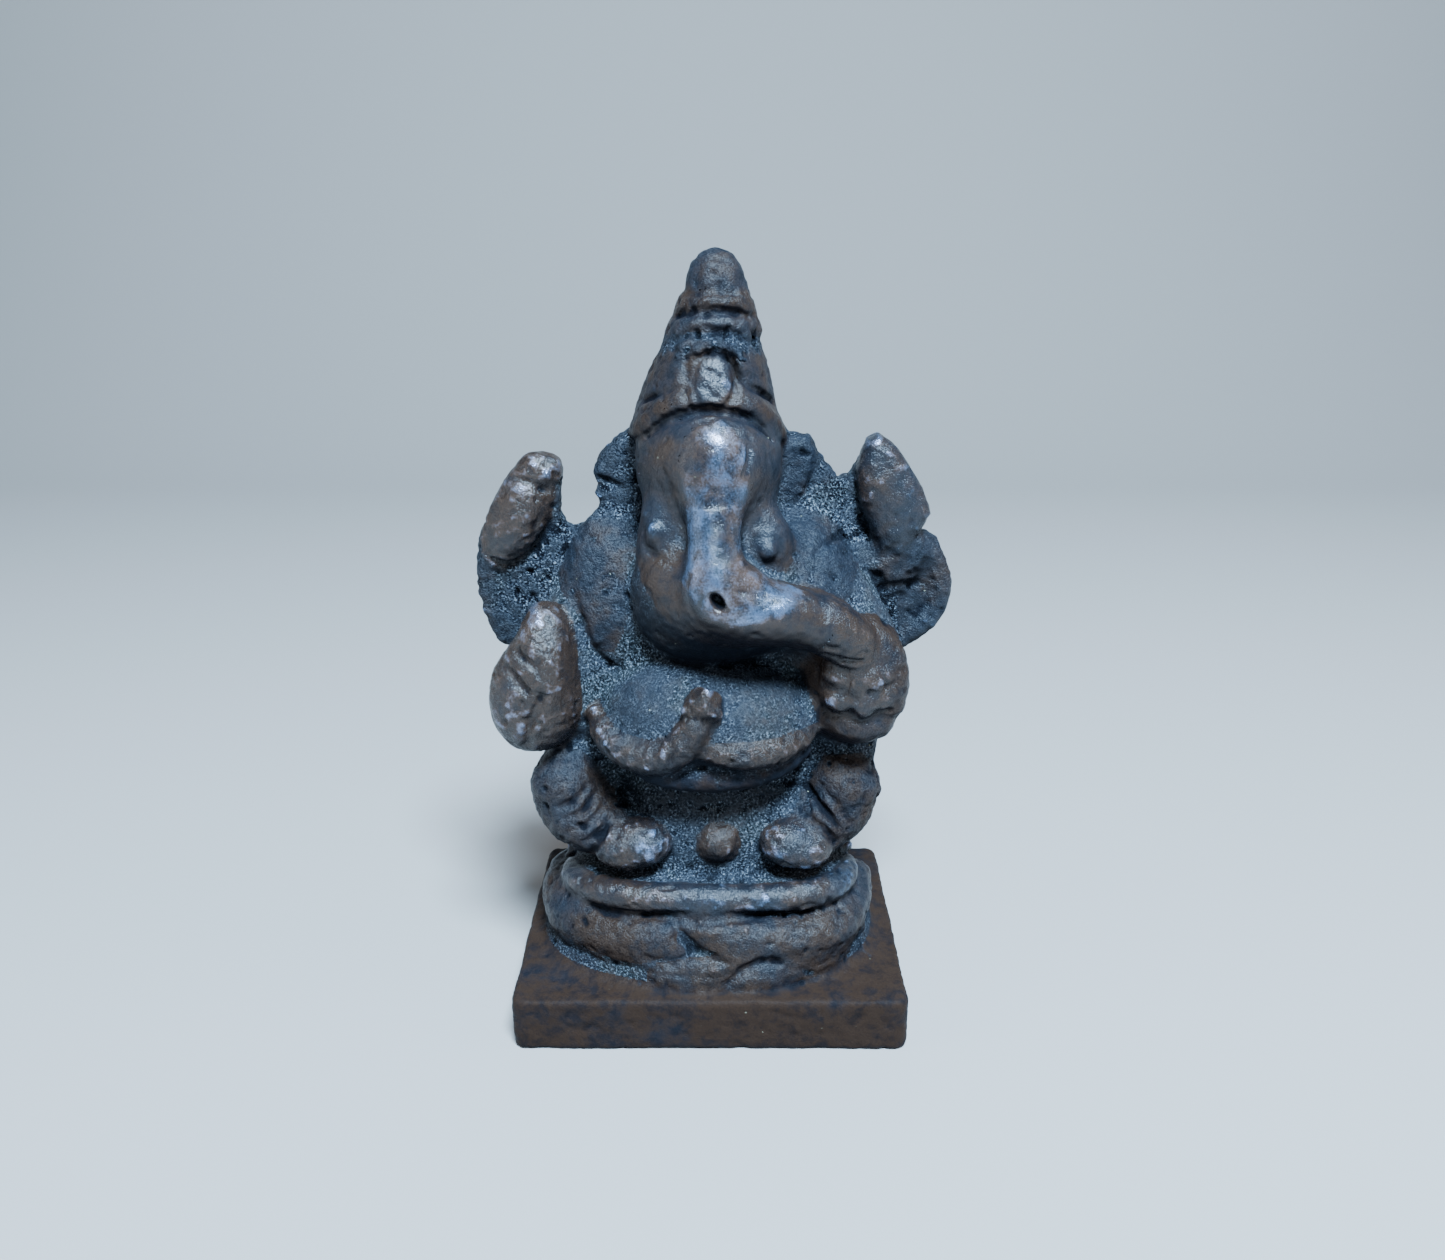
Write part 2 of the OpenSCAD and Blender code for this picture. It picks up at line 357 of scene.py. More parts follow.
def model_seat(clay):
    clay.add("seat_lower_tier", [drum((-0.3, 0.3), (16.4, 12.2), 4.2, 12.2, 2.5, 3.6)], blend=3.0)
    clay.add("seat_upper_tier", [drum((-0.2, 0.6), (13.8, 9.8), 9.5, 14.5, 3.2, 1.4)], blend=1.2)
    rim = [(-14.4, -1.6, 13.0, 0.5), (-13.8, -4.4, 13.2, 1.05), (-11.8, -6.9, 13.4, 1.3),
           (-8.8, -8.6, 13.6, 1.4), (-4.7, -9.3, 13.75, 1.35), (0.4, -9.45, 13.8, 1.3),
           (5.6, -9.3, 13.75, 1.3), (9.6, -8.5, 13.6, 1.35), (12.3, -6.7, 13.5, 1.25),
           (13.8, -4.2, 13.4, 1.0), (14.2, -1.6, 13.4, 0.5)]
    clay.add("seat_rim_roll", roll(rim), blend=0.8)
    behind = [(14.2, 1.5, 13.2, 0.6), (12.6, 6.6, 13.2, 0.8), (7.0, 9.7, 13.2, 0.8),
              (0, 10.3, 13.2, 0.8), (-7.4, 9.7, 13.2, 0.8), (-13.0, 6.6, 13.2, 0.8),
              (-14.5, 1.5, 13.2, 0.6)]
    clay.add("seat_rim_roll", roll(behind), blend=0.8)


def model_seat_rolls(clay):
    right = [(-15.2, 1.5, 10.4, 1.8), (-15.0, -1.8, 10.0, 2.3), (-13.5, -4.8, 9.5, 2.6),
             (-10.8, -7.3, 9.4, 2.7), (-7.8, -8.8, 9.4, 2.7), (-5.6, -9.5, 9.6, 2.4),
             (-4.4, -10.0, 9.9, 1.9)]
    clay.add("seat_roll_right", roll(right), blend=1.3)
    middle = [(-5.8, -10.2, 7.4, 1.2), (-3.6, -11.0, 7.1, 1.5), (-1.4, -11.3, 7.2, 1.6),
              (0.8, -11.4, 7.7, 1.5), (2.6, -11.3, 8.5, 1.2), (3.9, -11.0, 9.3, 0.8)]
    clay.add("seat_roll_middle", roll(middle), blend=1.8)
    left = [(-2.0, -9.6, 11.5, 1.5), (0.2, -10.0, 10.9, 1.9), (3.0, -10.2, 10.1, 2.1),
            (6.4, -10.1, 9.5, 2.1), (9.8, -9.2, 9.4, 2.1), (12.3, -7.4, 9.6, 2.1),
            (14.2, -4.3, 10.2, 1.9), (15.0, -0.8, 11.0, 1.6)]
    clay.add("seat_roll_left", roll(left), blend=1.2)
    below = [(2.4, -11.7, 6.4, 1.0), (5.3, -11.4, 6.8, 1.3), (8.4, -10.4, 7.1, 1.3),
             (11.6, -8.5, 7.3, 1.1), (14.4, -5.2, 7.8, 0.8)]
    clay.add("seat_roll_left", roll(below), blend=1.2)
    swirl = [(-3.4, 12.4, 0.2), (-3.0, 11.2, 0.45), (-2.0, 10.0, 0.6), (-0.2, 9.0, 0.6),
             (1.6, 8.7, 0.3)]
    clay.carve(on_front(clay, swirl), blend=0.4)
    groove(clay, (
        [(-6.2, 8.7, 0.1), (-4.4, 8.4, 0.25), (-2.6, 8.7, 0.2), (-1.4, 9.2, 0.1)],
        [(1.6, 6.4, 0.1), (3.0, 7.6, 0.3), (4.6, 8.5, 0.25), (6.6, 8.3, 0.1)],
        [(-11.4, 12.2, 0.15), (-8.6, 12.1, 0.3), (-4.7, 12.3, 0.35),
         (0.4, 12.3, 0.35), (5.6, 12.3, 0.3), (9.8, 12.2, 0.15)]), blend=0.7)


# ---------------------------------------------------------------- body, legs and feet

def model_body(clay):
    clay.add("lap", [ball((0.2, 0.8, 17.0), (13.2, 7.7, 8.4))], blend=1.6)
    clay.add("torso", [ball((0.2, 1.8, 33.5), (11.4, 6.0, 15), power=2.4)], blend=1.8)
    flanks = [(-14.6, 27.5), (-15.6, 33), (-11, 40), (11, 40), (16.2, 33), (16.0, 26), (13, 18),
              (-13, 18)]
    clay.add("torso", [sheet(flanks, -2.4, 4.4, edge=1.5)], blend=2.0)
    clay.add("torso", [ball((0.0, 3.6, 45.0), (7.2, 3.5, 9.0))], blend=2.0)
    clay.add("belly", [ball((0.3, -3.2, 31.0), (10.4, 7.2, 6.0))], blend=1.3)
    clay.add("chest_collar", [ball((0.0, -3.2, 42.6), (7.3, 5.8, 6.7))], blend=0.8)
    hem = [(-8.4, -5.6, 27.8, 0.8), (-6.6, -6.9, 26.9, 1.1), (-3.9, -8.0, 26.4, 1.4),
           (0.2, -8.5, 26.2, 1.5), (4.2, -8.0, 26.4, 1.4), (7.0, -6.9, 27.0, 1.1),
           (8.9, -5.6, 27.9, 0.8)]
    clay.add("waist_hem", roll(hem), blend=0.6)
    clay.carve(roll([(-7.5, -8.0, 24.4, 0.5), (-3.4, -9.4, 24.0, 0.9), (0.3, -9.8, 23.9, 1.0),
                     (4.0, -9.4, 24.0, 0.9), (8.0, -8.0, 24.5, 0.5)]), blend=0.8)
    groove(clay, (
        [(-3.4, 26.4, 0.15), (-2.0, 27.2, 0.3), (-0.4, 27.6, 0.2)],
        [(0.0, 27.2, 0.15), (1.2, 26.6, 0.25), (3.0, 26.6, 0.15)]), blend=0.3)


def model_snakes(clay):
    body = [(-10.8, -4.0, 30.6, 0.9), (-9.9, -5.4, 29.6, 1.4), (-8.6, -6.8, 28.9, 1.65),
            (-6.6, -8.3, 28.5, 1.75), (-4.5, -9.2, 28.8, 1.75), (-2.7, -9.9, 30.0, 1.6),
            (-1.4, -10.2, 31.8, 1.45), (-0.8, -10.1, 33.2, 1.4)]
    clay.add("snake_head", roll(body), blend=0.8)
    clay.add("snake_head", [gem(np.array((-0.5, -10.1, 34.1)), (1.8, 1.7, 1.9), 9, turn=0.9)],
             blend=0.4)
    tail = [(-0.4, -9.7, 29.7, 0.9), (2.2, -9.9, 29.3, 1.35), (5.4, -9.1, 29.2, 1.45),
            (8.0, -7.1, 29.7, 1.3), (9.9, -4.8, 30.5, 0.8)]
    clay.add("snake_tail", roll(tail), blend=0.8)


def model_legs(clay):
    right = [(-14.3, -2.6, 23.0, 3.1), (-13.9, -3.0, 21.3, 3.5), (-12.4, -4.2, 19.6, 3.1),
             (-10.4, -5.0, 18.6, 2.4)]
    clay.add("right_leg", roll(right), blend=2.6)
    left = [(13.2, -2.9, 22.8, 2.9), (12.8, -3.1, 20.9, 3.4), (11.5, -4.2, 19.5, 2.9),
            (10.2, -5.0, 18.6, 2.3)]
    clay.add("left_leg", roll(left), blend=2.6)
    clay.add("left_leg", [ball((13.8, -3.6, 23.2), (3.0, 2.5, 1.7), (0, 12, 0))], blend=1.0)
    clay.add("right_leg", [ball((-14.6, -4.0, 23.4), (2.6, 2.2, 1.9))], blend=1.4)
    clay.add("right_foot", [ball((-7.6, -6.7, 17.9), (3.6, 2.3, 2.2), (0, -8, 0)),
                            ball((-6.6, -6.6, 18.3), (2.7, 2.2, 2.1))], blend=0.8, melt=0.6)
    clay.add("left_foot", [ball((8.4, -6.7, 17.9), (3.3, 2.2, 2.1), (0, 8, 0)),
                           ball((7.6, -6.6, 18.3), (2.6, 2.2, 2.1))], blend=0.8, melt=0.6)
    clay.add("sash_knot", [ball((0.8, -6.2, 18.2), (2.1, 2.0, 2.0))], blend=0.8)
    groove(clay, (
        [(-14.6, 21.9, 0.2), (-13.0, 22.6, 0.35), (-11.8, 23.8, 0.2)],
        [(-14.1, 20.9, 0.2), (-12.4, 21.5, 0.35), (-11.0, 22.9, 0.2)],
        [(-13.2, 19.9, 0.2), (-11.6, 20.5, 0.4), (-10.3, 21.7, 0.2)],
        [(-12.2, 18.7, 0.2), (-10.8, 19.4, 0.45), (-9.6, 20.6, 0.2)],
        [(-11.4, 17.2, 0.2), (-10.9, 18.6, 0.35), (-9.9, 19.9, 0.2)],
        [(9.3, 22.9, 0.2), (10.6, 22.0, 0.3), (11.6, 20.9, 0.2)],
        [(10.2, 22.2, 0.2), (11.5, 21.1, 0.3), (12.4, 19.9, 0.2)],
        [(11.2, 23.2, 0.2), (12.6, 21.6, 0.3), (13.6, 20.4, 0.2)],
        [(9.4, 20.9, 0.2), (10.8, 20.0, 0.4), (12.2, 18.4, 0.2)]), blend=0.35)


# ---------------------------------------------------------------- arms, hands, attributes

def model_arms(clay):
    clay.add("right_arm", [ball((-13.0, 0.6, 30.5), (4.0, 3.4, 8.0))], blend=1.6)
    clay.add("right_arm", roll([(-12.8, 1.4, 41.4, 2.0), (-13.6, -0.4, 38.6, 2.6),
                                (-13.9, -1.4, 34.6, 2.8), (-13.6, -1.0, 30.5, 2.8)]), blend=2.0)
    clay.add("left_arm", [ball((13.0, 0.4, 30.0), (4.0, 3.6, 8.0))], blend=1.6)
    clay.add("left_arm", roll([(9.6, 0.6, 43.6, 2.4), (12.0, -0.6, 41.6, 3.0),
                               (14.0, -1.8, 38.8, 3.3), (14.6, -2.6, 34.5, 3.3)]), blend=2.4)


def model_right_front_hand(clay):
    clay.add("right_front_hand", [ball((-16.8, -3.9, 32.4), (4.2, 3.1, 5.5), power=2.1),
                                  ball((-15.5, -4.2, 37.6), (2.4, 2.4, 4.4), (-20, 0, 0))],
             blend=1.2, melt=2.4)
    groove(clay, (
        [(-19.2, 36.3, 0.2), (-18.5, 35.8, 0.35), (-17.8, 35.1, 0.4), (-16.9, 34.2, 0.2)],
        [(-18.0, 37.8, 0.2), (-17.2, 37.4, 0.3), (-16.0, 36.8, 0.2)],
        [(-15.2, 33.8, 0.15), (-16.0, 32.7, 0.3), (-16.7, 31.3, 0.35),
         (-17.1, 29.8, 0.3), (-17.3, 28.3, 0.15)]), blend=0.6)


def model_left_front_hand(clay):
    clay.add("left_front_hand", [ball((13.7, -3.5, 34.2), (4.9, 3.9, 6.3), power=2.2)], blend=1.2)
    thumb = [(14.8, -5.0, 39.4, 1.5), (16.4, -5.4, 37.6, 1.6), (17.0, -5.6, 35.2, 1.6),
             (16.9, -5.6, 32.8, 1.5)]
    clay.add("left_front_hand", roll(thumb), blend=0.9)
    fingers = [(11.9, -5.6, 31.2, 1.3), (13.8, -6.0, 30.4, 1.6), (15.8, -5.4, 30.6, 1.5)]
    clay.add("left_front_hand", roll(fingers), blend=0.9)
    lumps = [ball(at, (1.5 * big, 1.6, 1.35 * big), (0, 40, 0), 2.6)
             for at, big in (((13.3, -7.0, 35.6), 1.15), ((11.6, -6.6, 36.2), 0.9),
                             ((15.1, -6.8, 35.9), 0.9), ((11.9, -6.7, 33.7), 0.95),
                             ((14.1, -6.9, 33.4), 1.0), ((15.7, -6.3, 33.8), 0.8))]
    lumps.append(ball((13.6, -6.2, 34.8), (3.3, 2.0, 2.9)))
    clay.add("modak", lumps, blend=0.6, melt=0.4)
    groove(clay, (
        [(11.6, 32.6, 0.05), (13.2, 32.4, 0.1), (15.0, 32.7, 0.05)],
        [(15.0, 37.8, 0.15), (15.8, 36.4, 0.25), (16.2, 34.8, 0.15)],
        [(12.4, 37.0, 0.15), (12.6, 35.8, 0.3), (12.2, 34.2, 0.15)]), blend=0.3)


def model_back_hands(clay):
    blade = [(-15.0, 1.6, 53.6, 1.1), (-16.4, 1.4, 52.6, 1.9), (-17.4, 1.3, 50.4, 2.6),
             (-18.4, 1.4, 48.0, 2.7), (-19.3, 1.5, 46.2, 2.2)]
    clay.add("right_axe", roll(blade), blend=1.5)
    clay.add("right_axe", [ball((-15.9, 0.9, 53.6), (1.7, 1.4, 1.2), (0, 25, 0))], blend=0.8)
    clay.carve(on_front(clay, [(-20.6, 44.9, 0.3), (-18.8, 44.2, 0.55), (-17.0, 45.4, 0.5),
                               (-15.8, 46.9, 0.4), (-14.9, 48.4, 0.2)]), 0.4)
    clay.carve(on_front(clay, [(-18.2, 52.9, 0.1), (-16.4, 52.4, 0.2), (-15.0, 51.6, 0.1)]), 0.6)
    bud = [(14.5, 56.3), (15.6, 56.8), (17.5, 55.4), (19.9, 51.8), (20.8, 49.5), (20.1, 48.3),
           (18.6, 46.8), (16.2, 46.0), (14.9, 48.2), (14.1, 50.8), (13.9, 53.6)]
    clay.add("left_lotus_bud", [sheet(bud, -1.2, 2.9, edge=1.7)], blend=0.5)
    clay.add("left_lotus_bud", [ball((16.4, 0.3, 51.4), (2.2, 1.7, 4.8), (0, -16, 0))], blend=1.0)
    clay.add("left_back_hand", [ball((17.6, 2.2, 43.4), (3.6, 1.5, 3.6))], blend=1.6)
    knuckles = [gem(np.array(at), (1.7, 1.2, 1.6), 9, turn=at[0])
                for at in ((16.2, 1.1, 45.4), (17.9, 0.9, 44.9), (19.7, 1.2, 45.5), (17.0, 1.3, 43.6))]
    clay.add("left_back_hand", knuckles, blend=1.3, melt=1.3)
    clay.add("left_back_hand", [sheet([(15, 37), (15, 46), (20.5, 47.2), (21.9, 45.3),
                                       (22.8, 43.2), (23.0, 41.4), (22.6, 39.4), (21.6, 38.0),
                                       (20.4, 36.9), (18.6, 35.6)], 1.0, 3.0)], blend=0.4)
    rim = [(20.9, 1.7, 46.2, 0.7), (22.1, 1.6, 43.6, 0.8), (22.3, 1.6, 41.2, 0.8),
           (21.4, 1.6, 38.9, 0.8), (20.0, 1.6, 37.4, 0.8), (18.6, 1.6, 36.4, 0.6)]
    clay.add("left_back_hand", roll(rim), blend=1.2)
    clay.carve(on_front(clay, [(16.4, 42.1, 0.1), (18.0, 42.4, 0.2), (19.8, 42.3, 0.1)]), 0.6)


def model_webs(clay):
    right = [(-20.4, 36.0), (-21.4, 38), (-22.1, 41), (-22.1, 44.5), (-20.8, 48.5), (-17, 53.5),
             (-15.6, 54.6), (-14.5, 54.0), (-14.2, 52.2), (-14.3, 49.2), (-13.8, 48.0),
             (-12.9, 47.3), (-11.8, 47.4), (-11.0, 48.4), (-10.3, 50.0), (-10.7, 51.2),
             (-10.3, 52.0), (-10.9, 53.1), (-10.2, 54.8), (-8.3, 56.4), (-6, 57.6), (0, 58),
             (0, 36), (-14, 33)]
    clay.add("right_web", [sheet(right, 0.9, 3.2)], blend=0.9)
    edge = [(-20.6, 1.9, 46.6, 1.1), (-21.3, 1.8, 44.0, 1.0), (-21.4, 1.7, 41.4, 0.95),
            (-20.9, 1.7, 38.8, 0.95), (-20.2, 1.7, 37.0, 0.8)]
    clay.add("right_web", roll(edge), blend=0.9)
    left = [(0, 36), (0, 58), (6, 57.4), (7.5, 56.6), (9.2, 56.4), (10.0, 54.8), (11.4, 53.2),
            (12.1, 52.3), (12.9, 52.5), (14.4, 54.6), (16.5, 52), (16.5, 46), (18, 40),
            (18.6, 35.8), (14, 33)]
    clay.add("left_web", [sheet(left, 0.8, 3.2)], blend=0.9)


# ---------------------------------------------------------------- head and trunk

def model_head(clay):
    clay.add("head", [ball((-0.1, -1.2, 54.7), (6.6, 6.0, 6.3), power=2.2),
                      ball((0.4, -3.3, 55.0), (4.9, 4.9, 4.6)),
                      ball((0.2, -2.8, 49.0), (5.6, 4.2, 5.6))], blend=1.2, melt=2.2)
    clay.add("head", [ball((0.0, 2.0, 54.4), (5.7, 5.0, 6.2))], blend=1.6)
    clay.add("right_eye", [ball((-4.0, -4.3, 48.8), (2.1, 2.4, 3.1)),
                           ball((-3.9, -5.0, 50.4), (1.5, 1.3, 1.2))], blend=1.8, melt=1.0)
    clay.add("right_eye", [ball((-4.7, -6.7, 49.5), (0.75, 0.7, 0.9))], blend=0.5)
    clay.add("left_eye", [ball((5.1, -4.6, 48.0), (2.2, 2.1, 2.6))], blend=2.0)
    clay.add("left_eye", [ball((5.2, -6.8, 47.8), (0.8, 0.7, 0.9))], blend=0.5)


def model_trunk(clay):
    curl = [(-3.6, -4.8, 46.6, 1.9), (-3.0, -5.9, 45.0, 2.5), (-1.0, -7.4, 43.6, 2.8),
            (1.6, -8.8, 42.9, 2.75), (4.4, -9.1, 42.3, 2.55), (7.2, -8.7, 41.9, 2.4),
            (9.8, -8.0, 41.3, 2.4)]
    clay.add("trunk_curl", roll(curl), blend=2.8)
    left = [(-1.2, -6.2, 56.6, 1.5), (-0.6, -7.2, 54.0, 1.25), (-0.2, -8.5, 51.4, 1.1),
            (-0.2, -9.5, 48.6, 1.15), (0.0, -10.2, 46.0, 1.4), (1.2, -10.4, 44.2, 1.5)]
    middle = [(0.4, -6.5, 57.0, 1.9), (0.5, -7.4, 54.0, 1.4), (0.5, -8.6, 51.4, 1.2),
              (0.5, -9.6, 48.6, 1.25), (0.8, -10.3, 46.2, 1.4), (2.2, -10.4, 44.4, 1.4),
              (4.6, -9.9, 43.5, 1.3), (7.6, -9.2, 43.1, 1.0)]
    right = [(2.0, -6.1, 56.4, 1.5), (1.6, -7.2, 54.0, 1.25), (1.2, -8.5, 51.4, 1.1),
             (1.2, -9.4, 48.6, 1.15), (1.9, -9.9, 46.4, 1.3), (3.4, -9.7, 45.0, 1.2)]
    clay.add("trunk_root", roll(left) + roll(middle) + roll(right), blend=2.4, melt=0.9)
    tip = [(10.4, -7.8, 41.0, 2.4), (12.0, -7.1, 39.9, 2.6), (13.2, -6.3, 38.0, 2.4),
           (13.4, -5.8, 35.6, 2.0)]
    clay.add("trunk_tip", roll(tip), blend=0.9)
    clay.carve([ball(np.array((0.8, -12.2, 44.7)), (0.4, 1.0, 0.75), (0, -35, 0))], blend=0.8)
    clay.carve(on_front(clay, [(10.2, 38.9, 0.2), (12.0, 38.2, 0.35), (13.8, 38.0, 0.2)]), 0.3)


def cut_face(clay):
    """Marks on the brow, below the right eye, in and under the right ear, and in the left web."""
    groove(clay, (
        [(3.4, 57.4, 0.1), (3.5, 56.3, 0.25), (3.0, 54.9, 0.1)],
        [(-5.6, 47.9, 0.2), (-5.0, 47.6, 0.35), (-4.2, 47.3, 0.2)],
        [(-10.4, 52.8, 0.2), (-9.4, 52.3, 0.35), (-8.0, 51.5, 0.2)],
        [(-12.6, 41.8, 0.3), (-11.9, 39.2, 0.5), (-11.2, 37.2, 0.55),
         (-10.3, 35.9, 0.5), (-9.0, 35.0, 0.3)],
        [(9.6, 46.6, 0.1), (10.8, 47.3, 0.25), (12.0, 47.5, 0.2), (13.2, 48.2, 0.1)]), blend=0.45)


def model_ears(clay):
    clay.add("right_ear", [ball((-9.7, 0.7, 41.6), (4.2, 3.5, 6.9), (-6, 2, 0), 2.2)], blend=2.4)
    clay.add("left_ear", [ball((8.2, 0.2, 41.8), (5.6, 6.0, 7.4))], blend=3.0)
    pad = [(6.0, 55.8), (7.4, 56.5), (9.0, 56.5), (9.8, 55.4), (9.6, 53.2), (8.5, 50.8),
           (6.1, 49.4)]
    clay.add("left_ear", [sheet(pad, 0.05, 2.4, edge=0.9)], blend=0.5)


# ---------------------------------------------------------------- crown

def model_crown(clay):
    axis_y = 0.6
    clay.add("crown_base", [lathe([(59.6, 7.0), (61.2, 6.6), (62.8, 6.0), (64.2, 5.4), (65.2, 4.9)],
                                  (-0.3, 0.25, axis_y), (2.7, 1.3))], blend=0.6)
    clay.add("crown_neck", [lathe([(63.6, 5.1), (65.2, 4.7), (66.8, 4.2)],
                                  (0.1, 0.35, axis_y), (1.3, 1.1))], blend=0.3)
    clay.add("crown_lower_ring", [lathe([(66.0, 4.2), (66.6, 4.35), (67.3, 4.15), (68.2, 3.6)],
                                        (0.35, 0.5, axis_y), (0.5, 0.7))], blend=0.3)
    clay.add("crown_upper_ring", [lathe([(67.9, 3.5), (68.4, 3.75), (69.1, 3.5), (69.9, 3.0)],
                                        (0.5, 0.6, axis_y), (0.7, 0.5))], blend=0.3)
    clay.add("crown_finial", [lathe([(68.6, 2.9), (70.0, 2.75), (71.0, 2.5), (71.9, 2.1),
                                     (72.6, 1.5), (73.0, 0.8), (73.1, 0.1)],
                                    (0.65, 0.55, axis_y), edge=0.5)], blend=0.35)
    groove(clay, (
        [(-3.5, 65.0, 0.1), (-2.3, 65.9, 0.35), (-0.9, 66.3, 0.45), (0.6, 66.4, 0.45),
         (2.0, 66.2, 0.4), (2.9, 65.8, 0.25), (3.6, 65.3, 0.1)],
        [(-2.8, 67.5, 0.2), (-1.2, 68.0, 0.35), (0.6, 68.1, 0.4), (2.4, 67.9, 0.35),
         (3.4, 67.5, 0.2)],
        [(-2.3, 69.3, 0.2), (-0.8, 69.6, 0.3), (0.9, 69.7, 0.35), (2.4, 69.4, 0.2)]), blend=0.5)
    chance = np.random.default_rng(SEED)
    for turn in np.linspace(-1.0, 1.0, 44):
        x = 0.2 + 3.3 * math.sin(turn)
        z = 65.45 - 0.8 * turn ** 2 + chance.uniform(-0.45, 0.35)
        crumb = ball((x, clay.front(x, z) + 0.1, z), chance.uniform(0.22, 0.42, 3))
        clay.add("crown_neck", [crumb], blend=0.3)
    band = [(-6.3, 1.0, 57.1, 0.6), (-6.1, -1.3, 57.6, 0.7), (-5.2, -3.0, 58.7, 0.75),
            (-3.8, -4.3, 59.9, 0.75), (-1.9, -5.1, 60.6, 0.7), (0.1, -5.4, 60.8, 0.7),
            (2.2, -5.1, 60.6, 0.7), (4.0, -4.2, 59.9, 0.75), (5.3, -2.8, 58.7, 0.8),
            (5.9, -1.1, 57.6, 0.75), (6.1, 1.0, 57.0, 0.6), (4.6, 5.2, 58.4, 0.8),
            (0, 7.0, 59.3, 0.9), (-4.8, 5.2, 58.4, 0.8), (-6.3, 1.0, 57.1, 0.6)]
    clay.add("crown_brim", roll(band), blend=1.2)
    slope = (-24, 0, 0)
    clay.add("crown_base", [ball((0.1, -3.9, 62.5), (2.0, 0.7, 2.9), slope, 2.4)], blend=1.3)
    for x in (-1.9, 2.3):
        clay.carve(on_front(clay, [(x, 64.2, 0.1), (x, 62.4, 0.3), (x, 60.9, 0.15)]), blend=0.5)
    ring = [(0.4 + 1.75 * math.sin(a), 62.4 + 2.35 * math.cos(a), 0.22)
            for a in np.linspace(0, 2 * math.pi, 17)]
    clay.carve(on_front(clay, ring), blend=0.3)
    clay.add("crown_jewel", [ball((0.4, -4.8, 62.4), (1.5, 1.0, 2.1), slope, 2.6)], blend=0.15)
    groove(clay, (
        [(-0.2, 63.3, 0.15), (0.7, 63.1, 0.25), (0.5, 62.4, 0.15)],
        [(-0.1, 62.0, 0.1), (0.4, 61.4, 0.25), (1.0, 61.0, 0.1)]), blend=0.25)
    clay.add("crown_base", on_front(clay, [(2.6, 63.7, 0.2), (3.4, 63.2, 0.35), (4.1, 62.6, 0.2)],
                                    0.1), blend=0.3)
    groove(clay, (
        [(2.5, 62.9, 0.2), (3.6, 61.9, 0.4), (5.0, 60.9, 0.4), (5.9, 59.9, 0.2)],
        [(-6.0, 60.2, 0.2), (-4.0, 61.4, 0.3), (-2.4, 61.9, 0.2)],
        [(-5.6, 57.4, 0.3), (-4.0, 58.9, 0.45), (-2.0, 59.8, 0.5), (0.1, 60.1, 0.5),
         (2.2, 59.8, 0.5), (4.2, 58.8, 0.45), (5.6, 57.2, 0.3)]), blend=0.3)


# ---------------------------------------------------------------- from clay to meshes

def join_corners(owner):
    """Mends places where an element only touches itself along an edge, so its mesh stays closed."""
    views = [owner, owner.transpose(1, 2, 0), owner.transpose(2, 0, 1)]
    for _ in range(12):
        changed = 0
        for view in views:
            a, b = view[:, :-1, :-1], view[:, 1:, 1:]
            c, d = view[:, :-1, 1:], view[:, 1:, :-1]
            for p, q, r, s in ((a, b, c, d), (c, d, a, b)):
                bad = (p == q) & (p > 0) & (r != p) & (s != p)
                changed += int(bad.sum())
                r[bad] = p[bad]
        if not changed:
            break
    return owner


def surface_faces(owner):
    """Every face between two owners, as the four grid cells at its corners and its two owners."""
    faces = []
    for axis in range(3):
        u, v = (axis + 1) % 3, (axis + 2) % 3
        low = owner.take(range(owner.shape[axis] - 1), axis)
        high = owner.take(range(1, owner.shape[axis]), axis)
        at = np.stack(np.nonzero(low != high), axis=1)
        pair = np.stack([low[tuple(at.T)], high[tuple(at.T)]], axis=1)
        cells = []
        for du, dv in ((-1, -1), (0, -1), (0, 0), (-1, 0)):
            cell = at.copy()
            cell[:, u] += du
            cell[:, v] += dv
            cells.append(np.ravel_multi_index(cell.T, owner.shape))
        faces.append((np.stack(cells, axis=1), pair))
    return np.vstack([f[0] for f in faces]), np.vstack([f[1] for f in faces])


def relax(points, quads, weight):
    """Each point's pull towards the middle of its neighbours."""
    total = np.zeros_like(points)
    count = np.zeros(len(points), np.float32)
    for a in range(4):
        b = (a + 1) % 4
        for p, q in ((quads[:, a], quads[:, b]), (quads[:, b], quads[:, a])):
            for axis in range(points.shape[1]):
                total[:, axis] += np.bincount(p, points[q, axis], len(points))
            count += np.bincount(p, minlength=len(points))
    middle = total / np.maximum(count, 1)[:, None]
    return points + weight * np.where(count[:, None] > 0, middle - points, 0)


def draw_surface(clay):
    """The points and faces of the whole figure, its points settled onto the surface."""
    owner = np.where(clay.depth < 0, clay.owner, 0).astype(np.uint8)
    owner = join_corners(owner)
    cells, pairs = surface_faces(owner)
    keys, quads = np.unique(cells, return_inverse=True)
    quads = quads.reshape(cells.shape)
    points = np.stack(np.unravel_index(keys, owner.shape), axis=1).astype(np.float32) + 0.5
    points = clay.low.astype(np.float32) + clay.step * points
    outer = (pairs == 0).any(axis=1)
    skin = np.zeros(len(points), bool)
    skin[quads[outer]] = True
    for weight in (0.0, 0.6, 0.5, 0.3, 0.0):
        points = np.where(skin[:, None], relax(points, quads[outer], weight),
                          relax(points, quads, min(weight, 0.5)))
        here, grow = clay.slope(points[skin])
        square = np.maximum((grow ** 2).sum(axis=1), 0.04)
        step = np.clip(here / square, -0.6 * clay.step, 0.6 * clay.step)
        points[skin] -= step[:, None] * grow
    return points, quads, pairs, outer, skin


